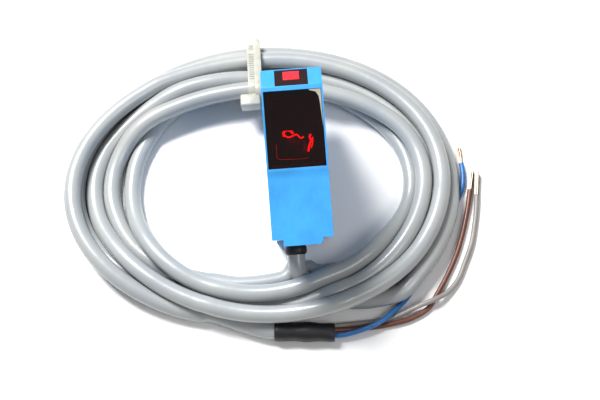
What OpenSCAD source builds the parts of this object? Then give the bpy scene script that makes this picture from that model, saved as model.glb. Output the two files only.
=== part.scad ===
// Slim photoelectric sensor with a coiled cable, lying on its back.
// Sensor solids are drawn upright: X across the width, Y from the front face
// to the back, Z from the foot to the top end. lay_down() then leans them back.

/* [Sensor] */
// Width of the housing at its lower end
body_w = 16; // [15:0.1:17]
// Width of the housing at its top end
body_top_w = 16; // [15:0.1:16]
// Depth from the front face to the rear face
body_d = 40; // [39:0.5:43]
// Height from the foot to the top end
body_h = 46.5; // [46:0.5:48]
// Lean of the sensor from upright, on its bundle of cable
lean = 70; // [66:1:74]
// Radius of the two through bores for mounting screws
mount_bore_r = 2.15; // [2.1:0.05:2.25]

/* [Cable] */
// Diameter of the round cable
cable_d = 5; // [4.8:0.1:5.2]
// Diameter of each insulated wire
wire_d = 1.5; // [1.3:0.1:1.7]
// Height of the coiled bundle
coil_h = 14.4; // [12:0.2:14.6]

/* [Hidden] */
$fn = 48;

// Housing shell
foot_h = 1.7;
foot_left = -5.05;
foot_right = 5.25;
step_y = 1;            // the plain lower front lies this far behind the window frame
frame_low_z = 19.2;
step_low_z = 17.3;
chamfer = 5.2;
cavity_x = 6.3;
cavity_low_z = 3.4;
cavity_top_z = 44.6;
front_wall = 2.6;
cover_t = 1.8;
cover_x = 6.9;
cover_low_z = 2.6;
cover_top_z = 45.4;
seal_t = 0.5;
post_r = 1.6;
pilot_r = 0.8;
screw_x = 4.9;
screw_low_z = 4.9;
screw_top_z = 43.1;
post_y = 34;
bore_low = [8, 8];     // [y, z] of the lower bore
bore_high = [33.6, 35.6];
bore_boss_r = 3.6;

// Window and optics
window_x = 7.5;
window_low_z = 20.1;
window_top_z = 40.2;
window_y = 0.25;
window_t = 1.6;
window_seal_t = 0.35;
opening_x = 6;
opening_low_z = 21.3;
opening_top_z = 39;
receiver_z = 25.6;
sender_z = 35.2;
holder_y = 5;
holder_d = 14.8;
lens_r = 4.1;
lens_d = 2.4;
tube_r = 2.6;

// Indicator and sensitivity dial
indicator_w = 8.7;
indicator_len = 6.8;
guide_w = 4.3;
dial_y = 25.6;
dial_r = 2.6;
dial_clear = 0.08;
neck_r = 1.9;

// Cable exit and its surroundings
exit_x = -2.2;
exit_y = 30;
bushing_out = 2.6;
bushing_r = 2.9;
bushing_flange_r = 3.7;

// Lying pose: the frame's origin is under the middle of the leaned housing
span_low = step_y * cos(lean);
span_high = body_d * cos(lean) + body_h * sin(lean);
pose_y = -(span_low + span_high) / 2;
pose_z = body_d * sin(lean);
function laid(p) = [p[0], p[1] * cos(lean) + p[2] * sin(lean) + pose_y,
    p[2] * cos(lean) - p[1] * sin(lean) + pose_z];
module lay_down() translate([0, pose_y, pose_z]) rotate([-lean, 0, 0]) children();

// Side outlines are drawn as [y, z] and drawn out along X, centred
module along_x(w) rotate([90, 0, 90]) translate([0, 0, -w / 2])
    linear_extrude(height = w) children();
module bore_x(at, r, w) translate([-w / 2, at[0], at[1]]) rotate([0, 90, 0])
    cylinder(h = w, r = r);
module rod_y(x, z, y0, y1, r) translate([x, y0, z]) rotate([-90, 0, 0])
    cylinder(h = y1 - y0, r = r);
module box(low, high) translate(low) cube(high - low);
module at_screws() for (x = [-screw_x, screw_x], z = [screw_low_z, screw_top_z])
    translate([x, 0, z]) children();

// ---- housing ----
module outer_form() {
    intersection() {
        along_x(body_w + 2) polygon([[0, frame_low_z], [0, body_h - chamfer],
            [chamfer, body_h], [body_d, body_h], [body_d, 0], [step_y, 0],
            [step_y, step_low_z]]);
        rotate([90, 0, 0]) translate([0, 0, -body_d - 1]) linear_extrude(height = body_d + 2)
            polygon([[-body_w / 2, foot_h], [-body_top_w / 2, body_h],
                [body_top_w / 2, body_h], [body_w / 2, foot_h], [foot_right, foot_h],
                [foot_right, 0.8], [foot_right - 0.8, 0], [foot_left, 0],
                [foot_left, foot_h]]);
    }
}

module cavity() {
    difference() {
        along_x(cavity_x * 2) polygon([[front_wall, cavity_low_z],
            [front_wall, 40], [7.2, cavity_top_z],
            [body_d + 1, cavity_top_z], [body_d + 1, cavity_low_z]]);
        at_screws() rod_y(0, 0, post_y, body_d + 2, post_r);
        bore_x(bore_low, bore_boss_r, body_w);
        bore_x(bore_high, bore_boss_r, body_w);
    }
}

// Frame of the chamfered end: its middle, facing along -Y after the turn
module on_chamfer() translate([0, chamfer / 2, body_h - chamfer / 2])
    rotate([-45, 0, 0]) children();

module main_housing() {
    color("deepskyblue") lay_down() difference() {
        outer_form();
        cavity();
        box([-cover_x, body_d - cover_t - seal_t, cover_low_z],
            [cover_x, body_d + 1, cover_top_z]);
        box([-window_x - 0.05, -1, window_low_z - 0.05],
            [window_x + 0.05, window_y + window_t + window_seal_t, window_top_z + 0.05]);
        box([-opening_x, -1, opening_low_z], [opening_x, front_wall + 1, opening_top_z]);
        on_chamfer() translate([-indicator_w / 2, -1, -indicator_len / 2])
            cube([indicator_w, 7, indicator_len]);
        at_screws() rod_y(0, 0, post_y + 0.5, body_d, pilot_r);
        bore_x(bore_low, mount_bore_r, body_w + 4);
        bore_x(bore_high, mount_bore_r, body_w + 4);
        translate([0, dial_y, cavity_top_z - 1]) cylinder(h = 4, r = dial_r + dial_clear);
        translate([exit_x, exit_y, -1]) cylinder(h = cavity_low_z + 2, r = bushing_r);
    }
}

module rear_cover() {
    color("dodgerblue") lay_down() difference() {
        box([-cover_x + 0.1, body_d - cover_t, cover_low_z + 0.1],
            [cover_x - 0.1, body_d, cover_top_z - 0.1]);
        at_screws() rod_y(0, 0, body_d - 3, body_d + 1, 1.1);
        at_screws() rod_y(0, 0, body_d - 1, body_d + 1, 1.95);
    }
}

module cover_seal() {
    color("dimgray") lay_down() difference() {
        box([-cover_x + 0.1, body_d - cover_t - seal_t, cover_low_z + 0.1],
            [cover_x - 0.1, body_d - cover_t, cover_top_z - 0.1]);
        difference() {
            box([-cavity_x + 0.2, body_d - 4, cavity_low_z + 0.2],
                [cavity_x - 0.2, body_d, cavity_top_z - 0.2]);
            at_screws() rod_y(0, 0, body_d - 5, body_d + 1, post_r + 0.2);
        }
        at_screws() rod_y(0, 0, body_d - 4, body_d + 1, 1.1);
    }
}

module cover_screws() {
    color("silver") lay_down() at_screws() difference() {
        union() {
            rod_y(0, 0, post_y + 1, body_d - 0.9, pilot_r);
            rod_y(0, 0, body_d - 1, body_d - 0.1, 1.8);
        }
        for (a = [0, 90]) rotate([0, a, 0])
            box([-1.2, body_d - 0.5, -0.2], [1.2, body_d, 0.2]);
    }
}

// ---- window and optics ----
module front_window() {
    color("maroon") lay_down() box([-window_x, window_y, window_low_z],
        [window_x, window_y + window_t, window_top_z]);
}

module window_seal() {
    y0 = window_y + window_t;
    color("black") lay_down() difference() {
        box([-window_x, y0, window_low_z], [window_x, y0 + window_seal_t, window_top_z]);
        box([-opening_x, y0 - 1, opening_low_z], [opening_x, y0 + 1, opening_top_z]);
    }
}

module lens_holder() {
    color("black") lay_down() difference() {
        box([-cavity_x + 0.2, holder_y, window_low_z + 0.6],
            [cavity_x - 0.2, holder_y + holder_d, window_top_z - 0.4]);
        for (z = [sender_z, receiver_z]) {
            rod_y(0, z, holder_y - 1, holder_y + lens_d + 0.4, lens_r + 0.05);
            rod_y(0, z, holder_y, holder_y + holder_d + 1, tube_r);
        }
    }
}

// Plano-convex lens, its curved side towards the window
module lens(z) {
    dome = 0.9;
    ball = (lens_r * lens_r + dome * dome) / (2 * dome);
    translate([0, holder_y + 0.4, z]) rotate([-90, 0, 0]) intersection() {
        cylinder(h = lens_d, r = lens_r);
        translate([0, 0, ball]) sphere(r = ball, $fn = 96);
    }
}
module sender_lens() color("lightcyan") lay_down() lens(sender_z);
module receiver_lens() color("lightcyan") lay_down() lens(receiver_z);

module light_baffle() {
    color("black") lay_down() box([-opening_x + 0.2, 2.1, 29.9], [opening_x - 0.2, holder_y, 30.9]);
}

// Round emitter or detector standing on the optics board
module opto_part(z, r) {
    y1 = holder_y + holder_d;
    rod_y(0, z, y1 - 3.2, y1 + 0.2, r);
    translate([0, y1 - 3.2, z]) sphere(r = r);
}
module sender_led() color("crimson") lay_down() opto_part(sender_z, 1.5);
module receiver_photodiode() color("darkslategray") lay_down() opto_part(receiver_z, 2);

board_y = holder_y + holder_d + 0.2;
module optics_board() color("darkgreen") lay_down()
    box([-6, board_y, 18], [6, board_y + 1, 41.4]);

// Board that stands beside the middle plane, its outline as [y, z]
main_board_x = 3.4;
module main_board() {
    color("darkgreen") lay_down() translate([main_board_x + 0.5, 0, 0]) along_x(1)
        polygon([[board_y + 1, 7], [36.6, 7], [36.6, 31.4], [29.8, 31.4], [29.8, 41.4],
            [board_y + 1, 41.4]]);
}

// Chips and capacitors on both faces of the main board: [y, z, length, height, thickness, side]
parts_list = [[24, 10, 5, 5, 1.2, -1], [24, 18, 6, 6, 1, -1], [31, 21, 4, 5, 1.2, -1],
    [24, 27, 3, 2, 1, -1], [29, 28, 2, 1.2, 0.8, -1], [32.5, 10, 3, 6, 1.6, 1],
    [24, 12, 4, 4, 1, 1], [24, 22, 5, 3, 1, 1]];
module board_components() {
    color("dimgray") lay_down() for (c = parts_list)
        translate([c[5] < 0 ? main_board_x - c[4] : main_board_x + 1, c[0], c[1]])
            cube([c[4], c[2], c[3]]);
}

// ---- indicator in the chamfer ----
module indicator_window() {
    color("black") lay_down() on_chamfer() difference() {
        translate([-indicator_w / 2 + 0.05, 0.1, -indicator_len / 2 + 0.05])
            cube([indicator_w - 0.1, 1.6, indicator_len - 0.1]);
        translate([-guide_w / 2, -1, -0.8]) cube([guide_w, 4, 3.4]);
    }
}

module indicator_light_guide() {
    color("red") lay_down() {
        on_chamfer() translate([-guide_w / 2 + 0.05, 0, -0.75])
            cube([guide_w - 0.1, 5, 3.3]);
        along_x(guide_w - 0.1) polygon([[6.2, 41.2], [6.2, 43.6], [19, 43.6], [19, 41.2]]);
    }
}

module indicator_leds() {
    color("orange") lay_down() for (x = [-1.2, 1.2])
        box([x - 0.8, 19.1, 41.4], [x + 0.8, board_y + 1, 43]);
}

// ---- sensitivity dial ----
module sensitivity_dial() {
    head_top = body_h - 0.2;
    color("white") lay_down() translate([0, dial_y, 0]) difference() {
        union() {
            translate([0, 0, 45.2]) cylinder(h = head_top - 45.2, r = dial_r);
            translate([0, 0, 40.6]) cylinder(h = 4.8, r = 1);
            translate([0, 0, 44.2]) cylinder(h = 1.1, r = neck_r);
            translate([0, 0, 43.7]) cylinder(h = 0.6, r = 3.3);
        }
        box([-2.1, -0.4, head_top - 0.7], [2.1, 0.4, body_h + 1]);
    }
}

module dial_seal() {
    color("black") lay_down() translate([0, dial_y, 44.86]) rotate_extrude()
        translate([neck_r + 0.31, 0]) circle(r = 0.31, $fn = 24);
}

module potentiometer_rotor() {
    color("ivory") lay_down() translate([0, dial_y, 40.5]) difference() {
        cylinder(h = 1, r = 2);
        translate([0, 0, -1]) cylinder(h = 3, r = 1);
    }
}

module potentiometer_body() {
    color("royalblue") lay_down() difference() {
        box([-3, 22.6, 37.2], [main_board_x, 28.6, 41.2]);
        translate([0, dial_y, 40.2]) cylinder(h = 2, r = 2.3);
    }
}

// ---- cable exit ----
// Turned about the upright cable axis at the foot
module at_exit(z) translate([exit_x, exit_y, z]) children();
module cable_bushing() {
    color("black") lay_down() at_exit(0) rotate_extrude() polygon([
        [cable_d / 2, -bushing_out], [2.7, -bushing_out], [3, -2.2], [3.15, -1.6], [3.15, -0.9],
        [3, -0.4], [bushing_r, -0.1],
        [bushing_r, cavity_low_z], [bushing_flange_r, cavity_low_z],
        [bushing_flange_r, cavity_low_z + 1.2], [cable_d / 2, cavity_low_z + 1.2]]);
}

module strain_relief_clamp() {
    color("silver") lay_down() at_exit(5.4) difference() {
        cylinder(h = 2.4, r = cable_d / 2 + 0.8);
        translate([0, 0, -1]) cylinder(h = 5, r = cable_d / 2);
    }
}

// ---- free cable, wires and tie, drawn where they lie ----
// Tube swept along points: each ring is square to the run there
function unit(v) = v / norm(v);
function heading(p, i) = unit(p[min(i + 1, len(p) - 1)] - p[max(i - 1, 0)]);
function side(t) = abs(t[2]) > 0.9 ? unit(cross([0, 1, 0], t)) : unit(cross([0, 0, 1], t));
function ring(c, t, r, n) = let(u = side(t), v = cross(t, u))
    [for (k = [0:n - 1]) c + r * (u * cos(360 * k / n) + v * sin(360 * k / n))];
module tube(p, r, n) {
    points = [for (i = [0:len(p) - 1]) each ring(p[i], heading(p, i), r, n)];
    walls = [for (i = [0:len(p) - 2], k = [0:n - 1]) let(m = (k + 1) % n)
        each [[i * n + k, (i + 1) * n + k, (i + 1) * n + m], [i * n + k, (i + 1) * n + m, i * n + m]]];
    low = [[for (k = [0:n - 1]) k]];
    high = [[for (k = [0:n - 1]) len(points) - 1 - k]];
    polyhedron(points = points, faces = concat(walls, low, high));
}

lead_route = [laid([exit_x, exit_y, 8.6]), laid([exit_x, exit_y, -1]),
    laid([exit_x, exit_y, -4]), [-1.8, -26, 5], [0, -31, 3.2]];
tail_route = [[-38, -29, 2.6], [-31, -33, 2.6], [-24, -36, 2.6], [-18.5, -38.4, 2.6],
    [-13, -40.5, 2.7], [-9, -41.3, 2.8]];
sleeve_from = [-9.8, -41.3, 2.9];
sleeve_to = [7, -43, 2.9];
blue_route = [[6, -43.6, 1.8], [10, -43.8, 1], [15, -43, 1], [20, -41, 1], [24, -38.2, 1],
    [28, -34.4, 1], [31.2, -30, 1], [34, -25.4, 1], [36.8, -20.6, 1], [39.8, -15.4, 1],
    [43, -10, 1], [46, -5.4, 1], [48, -1.2, 1], [48.7, 3, 1], [48.6, 6.4, 1]];
brown_route = [[6, -42.4, 3.1], [11, -42.3, 1.6], [16, -42.2, 2.5], [20, -41.7, 2.7],
    [24.5, -41.2, 2], [29, -40.3, 1], [34, -37.4, 1], [37, -33.4, 1], [40.4, -28.2, 1],
    [43.7, -22.2, 1], [46.4, -15.6, 1], [48.6, -8.6, 1], [50.1, -2.4, 1.3]];
grey_route = [[6, -41.4, 2.4], [11, -41.2, 1], [17, -40.6, 1], [21, -40, 1.6],
    [25.5, -38.9, 2.7], [31, -37, 2.7], [36, -35.4, 2], [40, -33.2, 1], [43.4, -29.6, 1],
    [45.8, -25, 1], [48.4, -19.4, 1], [50, -14, 1], [51.2, -8.6, 1], [51.9, -4, 1.2]];

inner_wire_starts = [[-3.2, 29.4, 8.7], [-1.4, 29.2, 8.7], [-2.2, 31, 8.7]];
module inner_wires() {
    color("saddlebrown") lay_down() for (i = [0:2]) let(start = inner_wire_starts[i],
        bend = [1.4, 26.4 + 2.6 * i, 15.4 + 1.1 * i])
        tube([start, start + [0, 0, 2], bend, [main_board_x - 0.02, bend[1], bend[2] + 0.6]],
            0.45, 8);
}

module cable_lead() color("lightgray") tube(lead_route, cable_d / 2, 12);
module cable_tail() color("lightgray") tube(tail_route, cable_d / 2, 12);

coil_centre = [-9.8, 5.2];
coil_outer = [58.6, 43.4];
coil_hole_centre = [-9.5, 0.5];
coil_hole = [38, 25.5];
module oval(centre, radii) polygon([for (a = [0:5:355])
    [centre[0] + radii[0] * cos(a), centre[1] + radii[1] * sin(a)]]);

tie_x = -11;
tie_w = 3.6;
tie_t = 1.1;
tie_head_low = [-15.6, 23, 9.4];
tie_head_high = [-9.4, 27.4, 13.8];
// Cross-section inside the tie, as [y, z] corners
tie_low = [28.4, tie_t];
tie_high = [47.2, 13.2];
module tie_section(grow) translate([tie_x, 0, 0]) along_x(tie_w)
    offset(r = grow) translate(tie_low) square(tie_high - tie_low);

module cable_coil() {
    color("lightgray") difference() {
        linear_extrude(height = coil_h) difference() {
            oval(coil_centre, coil_outer);
            oval(coil_hole_centre, coil_hole);
        }
        difference() {
            box([tie_x - tie_w / 2 - 0.1, 20, -1], [tie_x + tie_w / 2 + 0.1, 60, coil_h + 1]);
            box([tie_x - tie_w, tie_low[0] + 0.05, tie_t + 0.05],
                [tie_x + tie_w, tie_high[0] - 0.05, tie_high[1] - 0.05]);
        }
        box(tie_head_low - [0.05, 0.05, 0.05], tie_head_high + [0.05, 0.05, 9]);
        lay_down() box([-body_w, -1, -3], [body_w, body_d + 0.35, body_h + 9]);
    }
}

module cable_tie() {
    color("ivory") {
        difference() {
            tie_section(tie_t - 0.01);
            translate([-1, 0, 0]) tie_section(0);
            translate([1, 0, 0]) tie_section(0);
        }
        box(tie_head_low, tie_head_high);
    }
}

module end_sleeve() {
    d = sleeve_to - sleeve_from;
    color("black") translate(sleeve_from) rotate([0, 90, atan2(d[1], d[0])])
        cylinder(h = norm(d), r = 2.85);
}

module wire_blue() color("royalblue") tube(blue_route, wire_d / 2, 8);
module wire_brown() color("saddlebrown") tube(brown_route, wire_d / 2, 8);
module wire_grey() color("darkgray") tube(grey_route, wire_d / 2, 8);
tip_d = 0.9;
tip_ends = [[48, 12.5, 1.2], [51.2, 4.2, 1.8], [52.7, 3.5, 1.8]];
module wire_tips() {
    routes = [blue_route, brown_route, grey_route];
    color("silver") for (i = [0:2]) let(start = routes[i][len(routes[i]) - 1])
        tube([start, (start + tip_ends[i]) / 2, tip_ends[i]], tip_d / 2, 8);
}

main_housing();
rear_cover();
cover_seal();
cover_screws();
front_window();
window_seal();
lens_holder();
sender_lens();
receiver_lens();
light_baffle();
sender_led();
receiver_photodiode();
optics_board();
main_board();
board_components();
indicator_window();
indicator_light_guide();
indicator_leds();
sensitivity_dial();
potentiometer_rotor();
potentiometer_body();
dial_seal();
cable_bushing();
strain_relief_clamp();
inner_wires();
cable_lead();
cable_coil();
cable_tail();
end_sleeve();
wire_blue();
wire_brown();
wire_grey();
wire_tips();
cable_tie();
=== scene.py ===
"""Photoelectric sensor on its loosely coiled cable: the looks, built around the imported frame."""

import math

import bpy
import numpy as np
from mathutils import Matrix, Vector


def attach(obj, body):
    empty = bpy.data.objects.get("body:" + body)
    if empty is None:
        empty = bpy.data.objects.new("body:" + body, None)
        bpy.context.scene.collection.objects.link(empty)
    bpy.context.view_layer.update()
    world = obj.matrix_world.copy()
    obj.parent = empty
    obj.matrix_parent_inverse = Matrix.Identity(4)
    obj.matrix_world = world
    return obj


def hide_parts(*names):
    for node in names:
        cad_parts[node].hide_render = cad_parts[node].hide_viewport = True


bl_info = {
    "name": "Photoelectric sensor",
    "version": (1, 0, 0),
    "blender": (4, 5, 0),
    "location": "View3D > Sidebar > Sensor",
    "description": "Models the housing, optics, cable and wires of a slim photoelectric sensor",
    "category": "Add Mesh",
}

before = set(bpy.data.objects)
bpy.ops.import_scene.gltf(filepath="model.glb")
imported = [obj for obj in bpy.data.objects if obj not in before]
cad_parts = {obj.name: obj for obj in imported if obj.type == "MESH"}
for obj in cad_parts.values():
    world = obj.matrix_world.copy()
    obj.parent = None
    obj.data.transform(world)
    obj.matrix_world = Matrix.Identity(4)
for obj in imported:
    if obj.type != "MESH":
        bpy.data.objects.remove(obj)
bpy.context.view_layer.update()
MM = 0.001

# The sensor's own upright measures, in millimetres: X across, Y from front to back, Z up its length
BODY_D = 40
BODY_H = 46.5
LEAN = math.radians(70)
STEP_Y = 1
EXIT_X, EXIT_Y, BUSHING_OUT = -2.2, 30, 2.6
POSE_Y = -(STEP_Y * math.cos(LEAN) + BODY_D * math.cos(LEAN) + BODY_H * math.sin(LEAN)) / 2
POSE_Z = BODY_D * math.sin(LEAN)
LAID = Matrix.Translation((0, POSE_Y * MM, POSE_Z * MM)) @ Matrix.Rotation(-LEAN, 4, "X")


def laid(x, y, z):
    """A place on the upright sensor, in millimetres, as a point of the frame in metres."""
    return LAID @ Vector((x * MM, y * MM, z * MM))


# ---------------------------------------------------------------- settings

class CableSettings(bpy.types.PropertyGroup):
    """Sizes of the cable, its wires and its tie."""
    diameter: bpy.props.FloatProperty(
        name="Cable diameter", description="Outside diameter of the round cable",
        default=0.005, unit="LENGTH")
    wire: bpy.props.FloatProperty(
        name="Wire diameter", description="Outside diameter of one insulated wire",
        default=0.0015, unit="LENGTH")
    steps: bpy.props.IntProperty(
        name="Steps a turn", description="Points along one turn of the coil", default=48)
    tie_width: bpy.props.FloatProperty(
        name="Tie width", description="Width of the nylon strap", default=0.0036, unit="LENGTH")
    tie_thickness: bpy.props.FloatProperty(
        name="Tie thickness", description="Thickness of the nylon strap",
        default=0.0011, unit="LENGTH")


class BodySettings(bpy.types.PropertyGroup):
    """Edge roundings of the housing and its covers."""
    edge: bpy.props.FloatProperty(
        name="Edge rounding", description="Radius worn onto the housing's edges",
        default=0.0004, unit="LENGTH")
    fine_edge: bpy.props.FloatProperty(
        name="Fine rounding", description="Radius on small moulded parts",
        default=0.00012, unit="LENGTH")


class ColourSettings(bpy.types.PropertyGroup):
    """Colours of the visible finishes."""
    paint: bpy.props.FloatVectorProperty(
        name="Paint", description="Blue of the housing", subtype="COLOR",
        default=(0.04, 0.325, 0.76))
    cable: bpy.props.FloatVectorProperty(
        name="Cable", description="Grey of the cable jacket", subtype="COLOR",
        default=(0.36, 0.385, 0.405))
    window: bpy.props.FloatVectorProperty(
        name="Window", description="Tint of the front window", subtype="COLOR",
        default=(0.30, 0.008, 0.016))
    signal: bpy.props.FloatVectorProperty(
        name="Signal", description="Red of the indicator", subtype="COLOR",
        default=(0.9, 0.018, 0.028))


def cable():
    return bpy.context.scene.sensor_cable


def body():
    return bpy.context.scene.sensor_body


def colours():
    return bpy.context.scene.sensor_colours


# ---------------------------------------------------------------- materials

class Finish:
    """A node material: one shader fed by patterns on Object coordinates."""

    def __init__(self, name, rough=0.4, **sockets):
        self.material = bpy.data.materials.new(name)
        self.material.use_nodes = True
        self.nodes = self.material.node_tree.nodes
        self.links = self.material.node_tree.links
        self.shader = self.nodes["Principled BSDF"]
        self.coords = self.nodes.new("ShaderNodeTexCoord").outputs["Object"]
        self.set(Roughness=rough, **sockets)

    def set(self, **sockets):
        for socket, value in sockets.items():
            self.shader.inputs[socket.replace("_", " ")].default_value = value

    def noise(self, size, detail=3.0, roughness=0.55, stretch=None):
        """Noise whose grains are about size millimetres across."""
        node = self.nodes.new("ShaderNodeTexNoise")
        node.inputs["Scale"].default_value = 1 / (size * MM)
        node.inputs["Detail"].default_value = detail
        node.inputs["Roughness"].default_value = roughness
        source = self.coords
        if stretch:
            mapping = self.nodes.new("ShaderNodeMapping")
            mapping.inputs["Scale"].default_value = stretch
            self.links.new(self.coords, mapping.inputs["Vector"])
            source = mapping.outputs["Vector"]
        self.links.new(source, node.inputs["Vector"])
        return node.outputs["Fac"]

    def ramp(self, source, stops):
        node = self.nodes.new("ShaderNodeValToRGB")
        marks = node.color_ramp.elements
        while len(marks) < len(stops):
            marks.new(0.5)
        for mark, (place, colour) in zip(marks, stops):
            mark.position = place
            mark.color = (*colour, 1)
        self.links.new(source, node.inputs["Fac"])
        return node.outputs["Color"]

    def colour(self, source, low, high, start=0.3, end=0.7):
        self.links.new(self.ramp(source, [(start, low), (end, high)]),
                       self.shader.inputs["Base Color"])

    def roughness(self, source, low, high):
        node = self.nodes.new("ShaderNodeMapRange")
        node.inputs["From Min"].default_value = 0.3
        node.inputs["From Max"].default_value = 0.7
        node.inputs["To Min"].default_value = low
        node.inputs["To Max"].default_value = high
        self.links.new(source, node.inputs["Value"])
        self.links.new(node.outputs["Result"], self.shader.inputs["Roughness"])

    def bump(self, *layers):
        """Layers of (height source, depth in millimetres), the broad one first."""
        normal = None
        for source, depth in layers:
            node = self.nodes.new("ShaderNodeBump")
            node.inputs["Distance"].default_value = depth * MM
            self.links.new(source, node.inputs["Height"])
            if normal:
                self.links.new(normal, node.inputs["Normal"])
            normal = node.outputs["Normal"]
        self.links.new(normal, self.shader.inputs["Normal"])


def shade(colour, factor):
    return tuple(min(1.0, c * factor) for c in colour)


def moulded(name, colour, rough=0.45, grain=0.35, depth=0.01, **sockets):
    """Moulded plastic or rubber: slight mottling, soft bumps and uneven gloss."""
    finish = Finish(name, rough, **sockets)
    cloud = finish.noise(4)
    fine = finish.noise(grain, 4)
    finish.colour(cloud, shade(colour, 0.88), shade(colour, 1.1))
    finish.roughness(fine, max(0.05, rough - 0.07), min(1, rough + 0.08))
    finish.bump((fine, depth))
    return finish.material


def painted_casting(name):
    """Thick blue paint on a cast surface: orange peel and faint wear."""
    paint = tuple(colours().paint)
    finish = Finish(name, 0.34, Coat_Weight=0.35, Coat_Roughness=0.2)
    cloud = finish.noise(9, 3)
    peel = finish.noise(0.8, 2, stretch=(1, 0.35, 0.35))
    fine = finish.noise(0.22, 3)
    finish.colour(cloud, shade(paint, 0.86), shade(paint, 1.1))
    finish.roughness(peel, 0.28, 0.46)
    finish.bump((peel, 0.06), (fine, 0.014))
    return finish.material


def cable_jacket(name):
    """Grey PVC: long soft waves, fine dust and slightly yellowed patches."""
    grey = tuple(colours().cable)
    finish = Finish(name, 0.36, Subsurface_Weight=0.0, Coat_Weight=0.45, Coat_Roughness=0.2)
    cloud = finish.noise(16, 3)
    fine = finish.noise(0.5, 4)
    warm = (grey[0] * 1.06, grey[1] * 1.03, grey[2] * 0.95)
    finish.colour(cloud, shade(grey, 0.9), warm)
    finish.roughness(fine, 0.3, 0.44)
    finish.bump((finish.noise(5, 2), 0.12), (fine, 0.012))
    return finish.material


def nylon(name):
    """Milky natural nylon."""
    finish = Finish(name, 0.38, Subsurface_Weight=0.35, Subsurface_Scale=0.002)
    finish.shader.inputs["Subsurface Radius"].default_value = (1.0, 0.9, 0.75)
    cloud = finish.noise(3)
    finish.colour(cloud, (0.40, 0.39, 0.33), (0.52, 0.52, 0.47))
    finish.bump((finish.noise(0.4), 0.012))
    return finish.material


def metal(name, colour, rough=0.28, stretch=(1, 1, 1), grain=0.15):
    finish = Finish(name, rough, Metallic=1.0)
    fine = finish.noise(grain, 3, stretch=stretch)
    finish.colour(fine, shade(colour, 0.8), shade(colour, 1.1))
    finish.roughness(fine, rough - 0.08, rough + 0.12)
    finish.bump((fine, 0.006))
    return finish.material


def tinted_window(name):
    """Deep red window, clear enough to show what stands right behind it."""
    finish = Finish(name, 0.03, IOR=1.49, Transmission_Weight=1.0)
    tint = tuple(colours().window)
    finish.colour(finish.noise(6), shade(tint, 0.9), shade(tint, 1.1))
    finish.bump((finish.noise(5, 1), 0.004))
    return finish.material


def painted_glow_plastic(name, strength):
    # Red plastic whose emission paints a glow onto it.
    red = tuple(colours().signal)
    finish = Finish(name, 0.25, Emission_Strength=strength)
    finish.shader.inputs["Emission Color"].default_value = (*red, 1)
    cells = finish.noise(0.5, 2)
    finish.colour(cells, shade(red, 0.75), shade(red, 1.15))
    finish.bump((cells, 0.02))
    return finish.material


def circuit_board(name):
    finish = Finish(name, 0.4)
    tracks = finish.noise(0.9, 0, stretch=(1, 1, 0.2))
    finish.colour(tracks, (0.01, 0.07, 0.03), (0.02, 0.16, 0.06), 0.47, 0.53)
    finish.bump((tracks, 0.02))
    return finish.material


PALETTE = {}


def palette(name):
    """The named finish, made on first use."""
    makers = {
        "blue paint": lambda n: painted_casting(n),
        "grey cable jacket": lambda n: cable_jacket(n),
        "natural nylon": lambda n: nylon(n),
        "black rubber": lambda n: moulded(n, (0.014, 0.014, 0.015), 0.5),
        "shrink sleeve": lambda n: moulded(n, (0.007, 0.007, 0.009), 0.5, 1.2, 0.04),
        "black plastic": lambda n: moulded(n, (0.012, 0.011, 0.012), 0.42),
        "smoked plastic": lambda n: moulded(n, (0.02, 0.008, 0.009), 0.12, 2, 0.004),
        "white plastic": lambda n: moulded(n, (0.78, 0.77, 0.72), 0.4),
        "dial plastic": lambda n: moulded(n, (0.30, 0.27, 0.22), 0.5),
        # Pale cream of the strip along the window's upper corner.
        "pale cream": lambda n: moulded(n, (0.36, 0.34, 0.28), 0.35, 0.5, 0.03),
        "blue plastic": lambda n: moulded(n, (0.03, 0.1, 0.4), 0.4),
        "blue insulation": lambda n: moulded(n, (0.022, 0.15, 0.42), 0.35, 0.6, 0.02),
        "brown insulation": lambda n: moulded(n, (0.14, 0.045, 0.025), 0.35, 0.6, 0.02),
        "grey insulation": lambda n: moulded(n, (0.27, 0.25, 0.235), 0.38, 0.6, 0.02),
        "copper strands": lambda n: metal(n, (0.46, 0.31, 0.21), 0.3, (0.2, 1, 1)),
        "tinned strands": lambda n: metal(n, (0.24, 0.21, 0.17), 0.33, (0.2, 1, 1)),
        "bright steel": lambda n: metal(n, (0.62, 0.62, 0.63), 0.25),
        "tinted window": lambda n: tinted_window(n),
        # Lens glass painted near black, as shade behind the window.
        "lens glass darkened as shade": lambda n: moulded(n, (0.06, 0.008, 0.01), 0.06, 3, 0.002),
        # The indicator's emission paints its red glow.
        "indicator painted glow": lambda n: painted_glow_plastic(n, 1.1),
        # Emission here paints red glints behind the window.
        "painted glint glow": lambda n: painted_glow_plastic(n, 5.0),
        "circuit board": lambda n: circuit_board(n),
    }
    if name not in PALETTE:
        PALETTE[name] = makers[name](name)
    return PALETTE[name]


# ---------------------------------------------------------------- mesh helpers

def clear_selection():
    if bpy.context.object and bpy.context.object.mode != "OBJECT":
        bpy.ops.object.mode_set(mode="OBJECT")
    bpy.ops.object.select_all(action="DESELECT")


def pick(piece):
    clear_selection()
    piece.select_set(True)
    bpy.context.view_layer.objects.active = piece
    return piece


def settle(piece, name, finish):
    """Puts the object at the origin with its place in its mesh, and gives it its finish."""
    pick(piece)
    bpy.ops.object.transform_apply(location=True, rotation=True, scale=True)
    piece.name = name
    piece.data.name = name
    piece.data.materials.clear()
    piece.data.materials.append(palette(finish))
    return piece


def modifier(piece, kind, **values):
    pick(piece)
    mod = piece.modifiers.new(kind.title(), kind)
    for key, value in values.items():
        setattr(mod, key, value)
    bpy.ops.object.modifier_apply(modifier=mod.name)


def round_edges(piece, width, segments=3, angle=30):
    modifier(piece, "BEVEL", width=width, segments=segments, limit_method="ANGLE",
             angle_limit=math.radians(angle), use_clamp_overlap=True, harden_normals=False)


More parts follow.
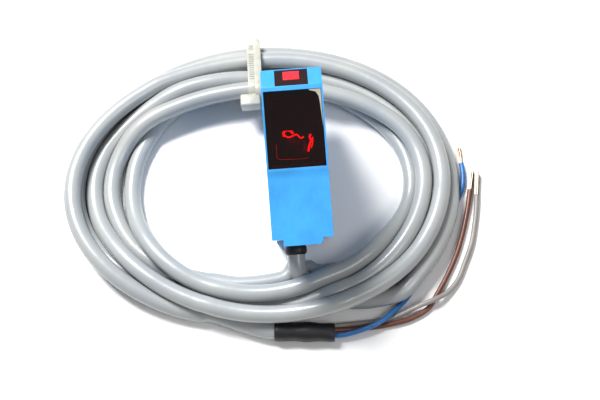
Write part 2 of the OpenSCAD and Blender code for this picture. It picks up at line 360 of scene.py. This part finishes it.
def smooth(piece, angle=35):
    pick(piece)
    bpy.ops.object.shade_smooth_by_angle(angle=math.radians(angle))


def face_out(piece):
    pick(piece)
    bpy.ops.object.mode_set(mode="EDIT")
    bpy.ops.mesh.select_all(action="SELECT")
    bpy.ops.mesh.remove_doubles(threshold=1e-6)
    bpy.ops.mesh.normals_make_consistent(inside=False)
    bpy.ops.object.mode_set(mode="OBJECT")


def block(low, high):
    """A box between two corners of the upright sensor, in millimetres."""
    clear_selection()
    bpy.ops.mesh.primitive_cube_add(size=1)
    piece = bpy.context.object
    piece.location = [(a + b) / 2 * MM for a, b in zip(low, high)]
    piece.scale = [(b - a) * MM for a, b in zip(low, high)]
    bpy.ops.object.transform_apply(location=True, rotation=True, scale=True)
    return piece


def refined_copy(node, name, finish, edge, segments=3, angle=30):
    """A copy of a CAD node with its flats merged and its edges rounded."""
    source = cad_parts[node]
    piece = bpy.data.objects.new(name, source.data.copy())
    bpy.context.scene.collection.objects.link(piece)
    pick(piece)
    bpy.ops.object.mode_set(mode="EDIT")
    bpy.ops.mesh.select_all(action="SELECT")
    bpy.ops.mesh.remove_doubles(threshold=2e-6)
    bpy.ops.mesh.dissolve_limited(angle_limit=math.radians(1.2))
    bpy.ops.object.mode_set(mode="OBJECT")
    if edge:
        round_edges(piece, edge, segments, angle)
    settle(piece, name, finish)
    smooth(piece)
    modifier(piece, "WEIGHTED_NORMAL", keep_sharp=True, weight=100)
    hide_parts(node)
    return piece


def join(pieces, name, finish):
    clear_selection()
    for piece in pieces:
        piece.select_set(True)
    bpy.context.view_layer.objects.active = pieces[0]
    if len(pieces) > 1:
        bpy.ops.object.join()
    return settle(pieces[0], name, finish)


# ---------------------------------------------------------------- cable route

# Coil: a centre and, for each half turn, how far the run reaches from it and how high it lies,
# in millimetres. Turns are counted from the near side, by the right, far and left sides.
COIL_CENTRE = (-10, 3)
# Right, left, right ...
SIDE_REACH = [53.8, 55.3, 46.6, 45.2, 48.9, 40.4, 44.8, 50.4, 51.6, 55.6]
# Near, far, near ...
END_REACH = [49, 43.2, 38.8, 29.6, 36.8, 35.8, 35.6, 33.8, 40.3, 40.6, 39.4]
# Near, right, far, left ...
HEIGHTS = [2.5, 2.6, 2.6, 2.6, 2.6, 7.0, 11.4, 2.7, 2.6, 2.6, 2.6, 2.6,
           7.2, 2.6, 7.0, 2.6, 7.2, 7.0, 7.2, 7.4, 2.5]
COIL_TURN = math.radians(-2.2)
FIRST_ANGLE = -45
LAST_ANGLE = 4 * 360 + 250
EXIT_ROUTE = [(-1.2, -26.8, 5), (1.2, -29.6, 3.5), (5.6, -31.8, 2.6), (12, -33.8, 2.5),
              (19, -34, 2.6)]
TAIL_ROUTE = [(-24, -36, 2.5), (-18.5, -38.4, 2.6), (-13, -40.5, 2.7), (-9, -41.3, 2.8),
              (-5, -41.7, 2.9)]
SLEEVE_ENDS = ((-9.8, -41.3, 2.9), (7, -43, 2.9))
WIRE_ROUTES = {
    "blue": [(4, -43.4, 2.2), (7, -43.6, 2), (10, -43.6, 2.1), (15, -42.6, 2.5),
             (20, -40.8, 2.7), (24, -37.9, 1.9), (28, -34.2, 0.9), (31.2, -30, 0.9),
             (34, -25.4, 0.9), (36.8, -20.6, 0.9), (39.8, -15.4, 0.9), (43, -10, 0.9),
             (46, -5.4, 0.9), (48, -1.2, 0.9), (48.7, 3, 0.9), (48.6, 6.4, 0.9)],
    "brown": [(4, -42.3, 3.4), (7, -42.1, 2.3), (11, -41.9, 1.1), (16, -41.8, 0.9),
              (20, -41.6, 0.9), (24.5, -41, 0.9), (29, -40, 0.9), (34, -37.4, 0.9),
              (37, -33.4, 0.9), (40.4, -28.2, 0.9), (43.7, -22.2, 0.9), (46.4, -15.6, 0.9),
              (48.6, -8.6, 1), (50.1, -2.4, 1.3)],
    "grey": [(4, -41.5, 2.8), (7, -40.8, 1.6), (11, -40.4, 0.9), (17, -40.2, 0.9),
             (21, -39.8, 0.9), (25.5, -38.9, 1), (31, -37, 2.2), (36, -35.4, 2.6),
             (40, -33.2, 1.4), (43.4, -29.6, 0.9), (45.8, -25, 0.9), (48.4, -19.4, 0.9),
             (50, -14, 0.9), (51.2, -8.6, 1), (51.9, -4, 1.2)],
}


def between(values, place):
    """Smooth value at a place along evenly spaced values."""
    i = min(int(place), len(values) - 2)
    t = place - i
    t = t * t * (3 - 2 * t)
    return values[i] * (1 - t) + values[i + 1] * t


def coil_points(steps):
    """The turns of the coil, worked out from their reach on each side."""
    count = round((LAST_ANGLE - FIRST_ANGLE) / 360 * steps)
    points = []
    turn_c, turn_s = math.cos(COIL_TURN), math.sin(COIL_TURN)
    for k in range(count + 1):
        angle = FIRST_ANGLE + (LAST_ANGLE - FIRST_ANGLE) * k / count
        a = math.radians(angle)
        side = between(SIDE_REACH, max(0.0, angle / 180))
        end = between(END_REACH, (angle + 90) / 180)
        height = between(HEIGHTS, (angle + 90) / 90)
        x, y = side * math.cos(a), end * math.sin(a)
        points.append((COIL_CENTRE[0] + x * turn_c - y * turn_s,
                       COIL_CENTRE[1] + x * turn_s + y * turn_c, height))
    return points


def smooth_run(points, spacing):
    """A Catmull-Rom run through the points, with even steps."""
    p = [np.array(v, float) for v in points]
    p = [2 * p[0] - p[1]] + p + [2 * p[-1] - p[-2]]
    out = []
    for i in range(1, len(p) - 2):
        a, b, c, d = p[i - 1:i + 3]
        for k in range(16):
            t = k / 16
            out.append(0.5 * (2 * b + (c - a) * t + (2 * a - 5 * b + 4 * c - d) * t * t
                              + (3 * b - 3 * c + d - a) * t ** 3))
    out.append(p[-2])
    out = np.array(out)
    walked = np.concatenate([[0], np.cumsum(np.linalg.norm(np.diff(out, axis=0), axis=1))])
    places = np.linspace(0, walked[-1], max(4, round(walked[-1] / spacing)))
    return np.stack([np.interp(places, walked, out[:, i]) for i in range(3)], 1)


KEEP_APART = 1.01               # of a diameter, between the middles of two turns
NEIGHBOURS = 2.5                # diameters along the run that never push each other
PUSH = (0.2, 0.2, 0.5)          # share of an overlap taken back each round, along each axis
SINK = 0.03                     # millimetres a round
SETTLING_ROUNDS = 12            # last rounds, with neither sinking nor sharing
SHARING_FLAT, SHARING_UP = 5, 2     # passes a round
HELD_POINTS = 6
RAMP_POINTS = 6                 # over which a held end becomes free


def spread_out(move, passes):
    """Shares each point's move with its neighbours, as a stiff cable does."""
    for _ in range(passes):
        move[1:-1] = move[1:-1] * 0.5 + (move[:-2] + move[2:]) * 0.25


def rest_on_itself(run, diameter, under, reach, rounds=160):
    """Pushes turns a diameter apart and lets the run settle on the table and the wires."""
    start = run.copy()
    run = run.copy()
    count = len(run)
    step = np.linalg.norm(run[1] - run[0])
    apart = int(math.ceil(NEIGHBOURS * diameter / step))
    index = np.arange(count)
    far = np.abs(index[:, None] - index[None, :]) > apart
    free = np.clip(np.minimum(index - HELD_POINTS, count - 1 - HELD_POINTS - index) / RAMP_POINTS,
                   0, 1)
    for turn in range(rounds):
        gap = run[:, None, :] - run[None, :, :]
        dist = np.sqrt((gap ** 2).sum(2)) + 1e-9
        short = np.clip(diameter * KEEP_APART - dist, 0, None) * far
        push = (gap / dist[:, :, None] * short[:, :, None]).sum(1) * PUSH
        move = run + push - start
        if turn < rounds - SETTLING_ROUNDS:
            move[:, 2] -= SINK
            spread_out(move[:, :2], SHARING_FLAT)
            spread_out(move[:, 2:], SHARING_UP)
        run = start + move * free[:, None]
        beside = ((run[:, None, :2] - under[None, :, :2]) ** 2).sum(2)
        over = np.sqrt(np.clip(reach ** 2 - beside, 0, None))
        lift = (under[:, 2] + over) * (beside < reach ** 2)
        run[:, 2] = np.maximum(run[:, 2], np.maximum(lift.max(1), diameter / 2))
    return run


def spline_piece(name, run, diameter, finish, sides=5):
    """One open spline with a round section along the run, in metres."""
    data = bpy.data.curves.new(name, "CURVE")
    data.dimensions = "3D"
    data.bevel_depth = diameter / 2
    data.bevel_resolution = sides
    data.use_fill_caps = True
    spline = data.splines.new("POLY")
    spline.points.add(len(run) - 1)
    for point, place in zip(spline.points, run):
        point.co = (*place, 1)
    spline.use_smooth = True
    piece = bpy.data.objects.new(name, data)
    bpy.context.scene.collection.objects.link(piece)
    data.materials.append(palette(finish))
    return piece


ROUTES = {}


def cable_run():
    """The whole cable from the bushing to the sleeve, in metres."""
    if "cable" not in ROUTES:
        start = [tuple(v / MM for v in laid(EXIT_X, EXIT_Y, z)) for z in (0, -BUSHING_OUT, -5.6)]
        turns = coil_points(cable().steps)
        route = start + EXIT_ROUTE + turns + TAIL_ROUTE
        run = smooth_run(route, 2.2)
        wires = np.concatenate([smooth_run(route, 1.2) for route in WIRE_ROUTES.values()])
        reach = (cable().diameter + cable().wire) / 2 / MM
        ROUTES["cable"] = rest_on_itself(run, cable().diameter / MM, wires, reach) * MM
    return ROUTES["cable"]


# ---------------------------------------------------------------- operators

class CableOperator(bpy.types.Operator):
    """Lays the camera and the round cable"""
    bl_idname = "sensor.lay_cable"
    bl_label = "Camera and cable"

    def execute(self, context):
        set_camera(context)
        run = cable_run()
        piece = spline_piece("coiled_cable", run, cable().diameter, "grey cable jacket")
        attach(piece, "sensor")
        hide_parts("cable_lead", "cable_coil", "cable_tail")
        ROUTES["cable piece"] = piece
        return {"FINISHED"}


CAMERA_REACH = 0.35
CAMERA_LENS = 71
CAMERA_PITCH = math.radians(68)
CAMERA_ROLL = math.radians(4.25)
CAMERA_AIM = Vector((0, -0.0011, 0))


def set_camera(context):
    back = Vector((0, -math.cos(CAMERA_PITCH), math.sin(CAMERA_PITCH)))
    right = Vector((1, 0, 0))
    up = back.cross(right)
    c, s = math.cos(CAMERA_ROLL), math.sin(CAMERA_ROLL)
    columns = (right * c - up * s, right * s + up * c, back)
    camera = bpy.data.cameras.new("camera")
    camera.lens = CAMERA_LENS
    camera.sensor_width = 36
    camera.clip_start = 0.01
    view = bpy.data.objects.new("camera", camera)
    context.scene.collection.objects.link(view)
    turn = Matrix(columns).transposed().to_4x4()
    view.matrix_world = Matrix.Translation(CAMERA_AIM + back * CAMERA_REACH) @ turn
    context.scene.camera = view


class WiresOperator(bpy.types.Operator):
    """Lays the three insulated wires and their bare ends"""
    bl_idname = "sensor.lay_wires"
    bl_label = "Wires"

    def execute(self, context):
        for colour, route in WIRE_ROUTES.items():
            run = smooth_run(route, 1.2) * MM
            wire = spline_piece(f"{colour}_wire", run, cable().wire, f"{colour} insulation", 3)
            tip = bare_end(colour, run)
            for piece, slot in ((wire, f"{colour}_wire"), (tip, "tinned_copper")):
                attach(piece, "sensor")
            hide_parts(f"wire_{colour}")
            if colour == "blue":
                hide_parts("wire_tips")
        return {"FINISHED"}


# Finish, length, radius of one strand (millimetres) and spread of each bare end
TIP_LOOKS = {
    "blue": ("copper strands", 6.2, 0.16, 0.08),
    "brown": ("tinned strands", 6.6, 0.24, 0.01),
    "grey": ("tinned strands", 7.6, 0.26, 0.01),
}


def bare_end(colour, run):
    """Seven fine strands that leave the insulation and spread a little."""
    finish, length, radius, spread = TIP_LOOKS[colour]
    end = Vector(run[-1])
    along = (end - Vector(run[-3])).normalized()
    side = along.cross(Vector((0, 0, 1))).normalized()
    up = side.cross(along)
    pieces = []
    for k in range(7):
        a = 2 * math.pi * k / 6
        ring = 0 if k == 6 else 1
        away = (side * math.cos(a) + up * math.sin(a)) * ring
        clear_selection()
        reach = length * (0.86 + 0.14 * ((k * 5) % 7) / 6)
        bpy.ops.mesh.primitive_cylinder_add(vertices=8, radius=radius * MM, depth=reach * MM)
        strand = bpy.context.object
        modest = (along + away * spread).normalized()
        strand.rotation_euler = modest.to_track_quat("Z", "Y").to_euler()
        strand.location = end + away * radius * 1.7 * MM + modest * (reach / 2 - 0.3) * MM
        pieces.append(strand)
    piece = join(pieces, f"{colour}_bare_end", finish)
    smooth(piece)
    return piece


SLEEVE_RADIUS = 2.75
SLEEVE_RINGS = 12


class SleeveOperator(bpy.types.Operator):
    bl_idname = "sensor.fit_sleeve"
    bl_label = "End sleeve"

    def execute(self, context):
        low, high = (Vector(v) * MM for v in SLEEVE_ENDS)
        clear_selection()
        length = (high - low).length
        bpy.ops.mesh.primitive_cylinder_add(vertices=48, radius=SLEEVE_RADIUS * MM, depth=length,
                                            end_fill_type="TRIFAN")
        sleeve = bpy.context.object
        bpy.ops.object.mode_set(mode="EDIT")
        bpy.ops.mesh.select_all(action="SELECT")
        bpy.ops.mesh.bisect(plane_co=(0, 0, 0), plane_no=(0, 0, 1))
        bpy.ops.object.mode_set(mode="OBJECT")
        for k in range(1, SLEEVE_RINGS):
            pick(sleeve)
            bpy.ops.object.mode_set(mode="EDIT")
            bpy.ops.mesh.select_all(action="SELECT")
            bpy.ops.mesh.bisect(plane_co=(0, 0, (k / SLEEVE_RINGS - 0.5) * length),
                                plane_no=(0, 0, 1))
            bpy.ops.object.mode_set(mode="OBJECT")
        half = length / 2
        for v in sleeve.data.vertices:
            t = v.co.z / half
            shrink = 1 + 0.05 * math.sin(7 * t + 1) - 0.07 * max(0, t) ** 2
            flat = 1 - 0.22 * max(0.0, t - 0.55) / 0.45
            v.co.x *= shrink * flat
            v.co.y *= shrink
        sleeve.rotation_euler = (high - low).to_track_quat("Z", "X").to_euler()
        sleeve.location = (low + high) / 2
        settle(sleeve, "shrink_sleeve", "shrink sleeve")
        round_edges(sleeve, 0.0003, 3, 50)
        smooth(sleeve, 40)
        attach(sleeve, "sensor")
        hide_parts("end_sleeve")
        run = cable_run()
        return {"FINISHED"}


TIE_X = -11
TIE_SIDE = 15                   # the bundle's crossings farther back than this are inside the tie
TIE_HEAD = (6.0, 3.9, 4.2)
HEAD_OFFSET = (-1.4, -1.9, 0.6)     # from the strap's near side to the head's middle
TAIL_OFFSET = 1.3               # sideways, from the strap's middle
TAIL_LIFT = 1.5                 # strap thicknesses, outwards from the strap
TAIL_STEP = 0.9
RIB_STEP = 0.9
RIB_RADIUS = 0.2


def hull_outline(points):
    """Convex outline of points in a plane, anticlockwise."""
    points = sorted(points)

    def half(seq):
        out = []
        for p in seq:
            while len(out) > 1 and ((out[-1][0] - out[-2][0]) * (p[1] - out[-2][1])
                                    - (out[-1][1] - out[-2][1]) * (p[0] - out[-2][0])) <= 0:
                out.pop()
            out.append(p)
        return out[:-1]
    return half(points) + half(points[::-1])


class TieOperator(bpy.types.Operator):
    """Pulls the nylon tie round the bundle"""
    bl_idname = "sensor.pull_tie"
    bl_label = "Cable tie"

    def execute(self, context):
        thick = cable().tie_thickness / MM
        reach = cable().diameter / MM / 2 + thick / 2
        ring = []
        run = cable_run() / MM
        for a, b in zip(run[:-1], run[1:]):
            if (a[0] - TIE_X) * (b[0] - TIE_X) < 0 and a[1] > TIE_SIDE:
                t = (TIE_X - a[0]) / (b[0] - a[0])
                y, z = a[1] + t * (b[1] - a[1]), a[2] + t * (b[2] - a[2])
                for k in range(24):
                    c = 2 * math.pi * k / 24
                    ring.append((y + reach * math.cos(c), max(thick / 2, z + reach * math.sin(c))))
        outline = hull_outline(ring)
        clear_selection()
        bpy.ops.mesh.primitive_circle_add(vertices=len(outline), radius=0.01)
        strap = context.object
        left = (TIE_X - cable().tie_width / MM / 2) * MM
        for vertex, (y, z) in zip(strap.data.vertices, outline):
            vertex.co = (left, y * MM, z * MM)
        bpy.ops.object.mode_set(mode="EDIT")
        bpy.ops.mesh.select_all(action="SELECT")
        across = {"value": (cable().tie_width, 0, 0)}
        bpy.ops.mesh.extrude_region_move(TRANSFORM_OT_translate=across)
        bpy.ops.object.mode_set(mode="OBJECT")
        face_out(strap)
        modifier(strap, "SOLIDIFY", thickness=cable().tie_thickness, offset=0)
        round_edges(strap, 0.0002, 2, 50)
        near = min(outline, key=lambda p: p[0] - 0.35 * p[1])
        pieces = [strap] + self.lock(near) + self.ribs(outline) + [self.tail(outline, near)]
        tie = join(pieces, "nylon_cable_tie", "natural nylon")
        smooth(tie, 30)
        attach(tie, "sensor")
        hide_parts("cable_tie")
        ROUTES["tie"] = tie
        return {"FINISHED"}

    def lock(self, near):
        """The square head that holds the strap."""
        y, z = near
        pieces = []
        clear_selection()
        bpy.ops.mesh.primitive_cube_add(size=1)
        head = bpy.context.object
        head.scale = [v * MM for v in TIE_HEAD]
        head.location = [(a + b) * MM for a, b in zip((TIE_X, y, z), HEAD_OFFSET)]
        bpy.ops.object.transform_apply(location=True, rotation=True, scale=True)
        round_edges(head, 0.0007, 4)
        pieces.append(head)
        return pieces

    def tail(self, outline, near):
        """The tail that leaves the head, lies on the strap and ends in a point past the bundle."""
        first = outline.index(near)
        turned = [outline[(first - k) % len(outline)] for k in range(len(outline))]
        top = max(range(len(turned)), key=lambda k: turned[k][0] * 0.8 + turned[k][1])
        middle = Vector((sum(p[0] for p in outline), sum(p[1] for p in outline))) / len(outline)
        grow = cable().tie_thickness / MM * TAIL_LIFT
        path = []
        for y, z in turned[:top + 1]:
            out = (Vector((y, z)) - middle).normalized() * grow
            path.append((y + out[0], z + out[1]))
        last = Vector(path[-1])
        path += [tuple(last + Vector((TAIL_STEP, 0)) * k) for k in (1, 2, 3)]
        clear_selection()
        bpy.ops.mesh.primitive_grid_add(x_subdivisions=1, y_subdivisions=len(path) - 1, size=1)
        tail = bpy.context.object
        rows = sorted({round(v.co.y, 5) for v in tail.data.vertices})
        half = cable().tie_width / MM / 2
        for vertex in tail.data.vertices:
            k = rows.index(round(vertex.co.y, 5))
            y, z = path[k]
            wide = half * (0.2 if k == len(path) - 1 else 0.6)
            x = TIE_X + TAIL_OFFSET + math.copysign(wide, vertex.co.x)
            vertex.co = (x * MM, y * MM, z * MM)
        modifier(tail, "SOLIDIFY", thickness=cable().tie_thickness * 0.8, offset=0)
        face_out(tail)
        round_edges(tail, 0.00015, 2, 50)
        return tail

    def ribs(self, outline):
        """Fine cross ridges on the strap's outer face."""
        pieces = []
        count = len(outline)
        thick = cable().tie_thickness / MM
        for k in range(count):
            a = Vector(outline[k])
            b = Vector(outline[(k + 1) % count])
            length = (b - a).length
            if length < 1.6 or (a[1] + b[1]) / 2 < 3:
                continue
            along = (b - a) / length
            out = Vector((along[1], -along[0]))
            for j in range(int(length / RIB_STEP)):
                spot = a + along * (RIB_STEP / 2 + RIB_STEP * j) + out * (thick / 2)
                clear_selection()
                bpy.ops.mesh.primitive_cylinder_add(vertices=8, radius=RIB_RADIUS * MM,
                                                    depth=(cable().tie_width / MM - 1.1) * MM)
                rib = bpy.context.object
                rib.rotation_euler = (0, math.pi / 2, 0)
                rib.location = (TIE_X * MM, spot[0] * MM, spot[1] * MM)
                pieces.append(rib)
        return pieces


class HousingOperator(bpy.types.Operator):
    """Rounds and paints the cast housing and its rear cover"""
    bl_idname = "sensor.dress_housing"
    bl_label = "Housing"

    def execute(self, context):
        shell = refined_copy("main_housing", "painted_housing", "blue paint", body().edge)
        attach(shell, "sensor")
        cover = refined_copy("rear_cover", "painted_rear_cover", "blue paint", body().fine_edge)
        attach(cover, "sensor")
        return {"FINISHED"}


class OpticsOperator(bpy.types.Operator):
    """Finishes the window and what stands behind it"""
    bl_idname = "sensor.finish_optics"
    bl_label = "Window and optics"

    def execute(self, context):
        window = refined_copy("front_window", "tinted_front_window", "tinted window",
                              body().fine_edge)
        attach(window, "sensor")
        # Black blinds joined to the seal paint shade behind the window.
        seal = refined_copy("window_seal", "window_seal_and_shade_blinds", "black plastic", 0)
        mask = join([seal] + self.mask(), "window_seal_and_shade_blinds", "black plastic")
        smooth(mask)
        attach(mask, "sensor")
        # The sender LED and the red lines joined to it paint glints by emission.
        led = refined_copy("sender_led", "sender_led_painted_glints", "painted glint glow", 0)
        painted_glints = join([led] + self.painted_glints(), "sender_led_painted_glints", "painted glint glow")
        smooth(painted_glints)
        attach(painted_glints, "sensor")
        corner_strip = self.corner_strip()
        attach(corner_strip, "sensor")
        return {"FINISHED"}

    def corner_strip(self):
        """A pale cream strip that shows along the window's upper corner."""
        clear_selection()
        bpy.ops.mesh.primitive_circle_add(vertices=len(CORNER_STRIP), radius=0.01, fill_type="NGON")
        corner_strip = bpy.context.object
        for vertex, (x, z) in zip(corner_strip.data.vertices, CORNER_STRIP):
            vertex.co = laid(x, CORNER_STRIP_Y, z)
        bpy.ops.object.mode_set(mode="EDIT")
        bpy.ops.mesh.select_all(action="SELECT")
        thick = laid(0, CORNER_STRIP_THICKNESS, 0) - laid(0, 0, 0)
        bpy.ops.mesh.extrude_region_move(TRANSFORM_OT_translate={"value": -thick})
        bpy.ops.object.mode_set(mode="OBJECT")
        face_out(corner_strip)
        round_edges(corner_strip, CORNER_STRIP_EDGE, 2)
        return settle(corner_strip, "window_corner_strip", "pale cream")

    def mask(self):
        """Two black blinds close behind the window that paint shade there, a tall one above the
        painted glints, a strip below.
        """
        pieces = []
        for low, high in SHADE_BLINDS:
            blind = block(low, high)
            round_edges(blind, BLIND_EDGE, 2)
            blind.data.transform(LAID)
            pieces.append(blind)
        return pieces

    def painted_glints(self):
        """Glowing lines that paint red glints behind the window."""
        pieces = []
        for path, thick in PAINTED_GLINTS:
            run = smooth_run([laid(x, PAINTED_GLINT_Y, z) / MM for x, z in path], 0.3) * MM
            line = spline_piece("glint", run, thick * MM, "painted glint glow", 2)
            pick(line)
            bpy.ops.object.convert(target="MESH")
            pieces.append(bpy.context.object)
        return pieces


# Corners of the blinds on the upright sensor: black sheets that paint shade behind the window
SHADE_BLINDS = [((-6.1, 2.3, 29.9), (6.1, 2.7, 39.1)), ((-6.1, 2.3, 21.2), (6.1, 2.7, 22.2))]
BLIND_EDGE = 0.00015
PAINTED_GLINT_Y = 2.5
CORNER_STRIP_Y, CORNER_STRIP_THICKNESS, CORNER_STRIP_EDGE = 0.27, 0.17, 0.00004

# Outline of the pale cream strip as (x, z) on the upright sensor
CORNER_STRIP = [(4.4, 40.12), (7.44, 40.12), (7.44, 30), (7.22, 33), (7, 36.6), (6.8, 38.2), (6.1, 39.4),
        (4.4, 39.9)]

# Glowing lines behind the window that paint red glints, as (x, z) on the upright sensor, with their
# thickness
PAINTED_GLINTS = [
    ([(-2.8, 28.5), (-3, 29.4), (-2.2, 30.1), (-1.2, 29.9), (-0.5, 29.1)], 0.62),
    ([(-2.6, 28.7), (-1.8, 28.2), (-0.6, 28.5), (0.4, 28.8), (1.4, 27.8), (2.2, 28.1)], 0.42),
    ([(4.1, 28.6), (3.7, 28), (4, 27), (3.5, 25.8), (3.1, 24.2)], 0.55),
    ([(4.5, 27.9), (4.4, 26.4), (3.9, 25)], 0.26),
    ([(-5, 26.6), (-5.1, 24.6), (-4.9, 22.8), (-2, 22.5), (1.4, 22.4), (3, 22.6)], 0.03),
    ([(-4.6, 37), (-2, 37.3), (0.5, 37.2)], 0.02),
]


class IndicatorOperator(bpy.types.Operator):
    """Finishes the indicator in the sloped end"""
    bl_idname = "sensor.finish_indicator"
    bl_label = "Indicator"

    def execute(self, context):
        frame_piece = refined_copy("indicator_window", "smoked_indicator_window", "smoked plastic",
                                   body().fine_edge)
        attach(frame_piece, "sensor")
        # The light guide's red glow is painted by emission.
        guide = refined_copy("indicator_light_guide", "red_light_guide", "indicator painted glow",
                             body().fine_edge)
        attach(guide, "sensor")
        return {"FINISHED"}


class BushingOperator(bpy.types.Operator):
    """Finishes the rubber bushing and the sensitivity dial"""
    bl_idname = "sensor.finish_bushing"
    bl_label = "Bushing and dial"

    def execute(self, context):
        bushing = refined_copy("cable_bushing", "rubber_bushing", "black rubber", 0.0003, 3, 40)
        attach(bushing, "sensor")
        ROUTES["bushing"] = bushing
        dial = refined_copy("sensitivity_dial", "slotted_dial", "dial plastic", 0.00006)
        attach(dial, "dial")
        return {"FINISHED"}


NODE_FINISHES = {
    "cover_seal": "black rubber", "cover_screws": "bright steel", "window_seal": "black rubber",
    # The lenses' near-black colour is painted shade.
    "lens_holder": "black plastic", "sender_lens": "lens glass darkened as shade", "receiver_lens": "lens glass darkened as shade",
    # The sender LED's emission paints a glint.
    "light_baffle": "black plastic", "sender_led": "painted glint glow",
    "receiver_photodiode": "smoked plastic",
    "optics_board": "circuit board", "main_board": "circuit board",
    # The indicator LEDs' emission paints a red glow.
    "board_components": "black plastic", "indicator_leds": "indicator painted glow",
    "potentiometer_rotor": "white plastic", "potentiometer_body": "blue plastic",
    "dial_seal": "black rubber", "strain_relief_clamp": "bright steel",
    "inner_wires": "brown insulation",
}


class InnerPartsOperator(bpy.types.Operator):
    """Gives each carried-over part its finish"""
    bl_idname = "sensor.finish_inner_parts"
    bl_label = "Inner parts"

    def execute(self, context):
        for node, finish in NODE_FINISHES.items():
            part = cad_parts[node]
            part.data.materials.clear()
            part.data.materials.append(palette(finish))
        return {"FINISHED"}


# Name, place and size in metres, and power in watts
LAMPS = (
    ("key", (-0.25, 0.3, 0.6), 0.24, 8.6),
    ("front", (0.35, -0.3, 0.6), 0.25, 1.2),
)
WORLD_STRENGTH = 0.27
FLOOR_SIZE = 6


class StageOperator(bpy.types.Operator):
    """Sets the pale floor and the soft light"""
    bl_idname = "sensor.set_stage"
    bl_label = "Stage"

    def execute(self, context):
        clear_selection()
        bpy.ops.mesh.primitive_plane_add(size=FLOOR_SIZE)
        floor = bpy.context.object
        floor.name = "floor"
        finish = Finish("pale floor", 0.3)
        finish.colour(finish.noise(60), (0.93, 0.93, 0.93), (0.97, 0.97, 0.97))
        floor.data.materials.append(finish.material)
        world = bpy.data.worlds.new("studio")
        world.use_nodes = True
        world.node_tree.nodes["Background"].inputs["Color"].default_value = (1, 1, 1, 1)
        world.node_tree.nodes["Background"].inputs["Strength"].default_value = WORLD_STRENGTH
        context.scene.world = world
        for name, place, size, power in LAMPS:
            light = bpy.data.lights.new(name, "AREA")
            light.size = size
            light.energy = power
            lamp = bpy.data.objects.new(name, light)
            lamp.location = place
            lamp.rotation_euler = (-Vector(place)).to_track_quat("-Z", "Y").to_euler()
            context.scene.collection.objects.link(lamp)
        context.scene.view_settings.view_transform = "Standard"
        return {"FINISHED"}


OPERATORS = (CableOperator, TieOperator, BushingOperator, SleeveOperator, WiresOperator,
             HousingOperator, OpticsOperator, IndicatorOperator, InnerPartsOperator, StageOperator)


class SensorPanel(bpy.types.Panel):
    """Lists the steps that make the sensor."""
    bl_idname = "VIEW3D_PT_sensor"
    bl_label = "Photoelectric sensor"
    bl_space_type = "VIEW_3D"
    bl_region_type = "UI"
    bl_category = "Sensor"

    def draw(self, context):
        for operator in OPERATORS:
            self.layout.operator(operator.bl_idname)


SETTINGS = {"sensor_cable": CableSettings, "sensor_body": BodySettings,
            "sensor_colours": ColourSettings}


def register():
    for group in (*SETTINGS.values(), *OPERATORS, SensorPanel):
        bpy.utils.register_class(group)
    for name, group in SETTINGS.items():
        setattr(bpy.types.Scene, name, bpy.props.PointerProperty(type=group))


def unregister():
    for name in SETTINGS:
        delattr(bpy.types.Scene, name)
    for group in reversed((*SETTINGS.values(), *OPERATORS, SensorPanel)):
        bpy.utils.unregister_class(group)


def main():
    register()
    for operator in OPERATORS:
        getattr(bpy.ops.sensor, operator.bl_idname.split(".")[1])()


if __name__ == "__main__":
    main()
